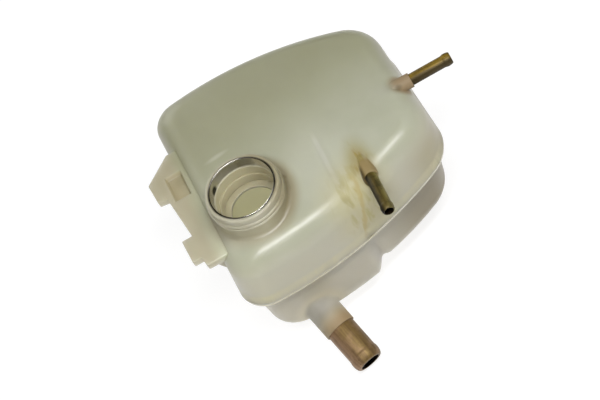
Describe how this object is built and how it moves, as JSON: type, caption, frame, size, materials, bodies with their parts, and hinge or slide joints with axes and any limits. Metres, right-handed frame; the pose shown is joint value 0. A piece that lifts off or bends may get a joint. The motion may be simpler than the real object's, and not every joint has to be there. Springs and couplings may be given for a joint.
{
  "type": "coolant expansion tank",
  "caption": "Translucent plastic coolant reservoir with welded shells, a threaded filler neck, a slanted outlet spigot, small bleed pipes and a side mounting flange.",
  "frame": {"origin": "centre of the filler mouth, in the plane of the neck's rim", "axes": "+Z is the filler neck's axis and points out of the mouth; +X points the way of the side bleed pipe; -Y points the way of the front bleed pipe"},
  "size_m": [0.2129, 0.1997, 0.1349],
  "materials": {
    "upper_plastic": "milky, translucent, aged, satin",
    "lower_plastic": "milky, translucent, aged, slightly darker",
    "ring_steel": "bright, drawn",
    "pipe_brass": "dull, tarnished"
  },
  "bodies": {
    "root": {"upper_shell": "upper_plastic", "lower_shell": "lower_plastic", "neck_ring": "ring_steel", "outlet_pipe": "pipe_brass", "bleed_pipe_side": "pipe_brass", "bleed_pipe_front": "pipe_brass"}
  },
  "joints": []
}
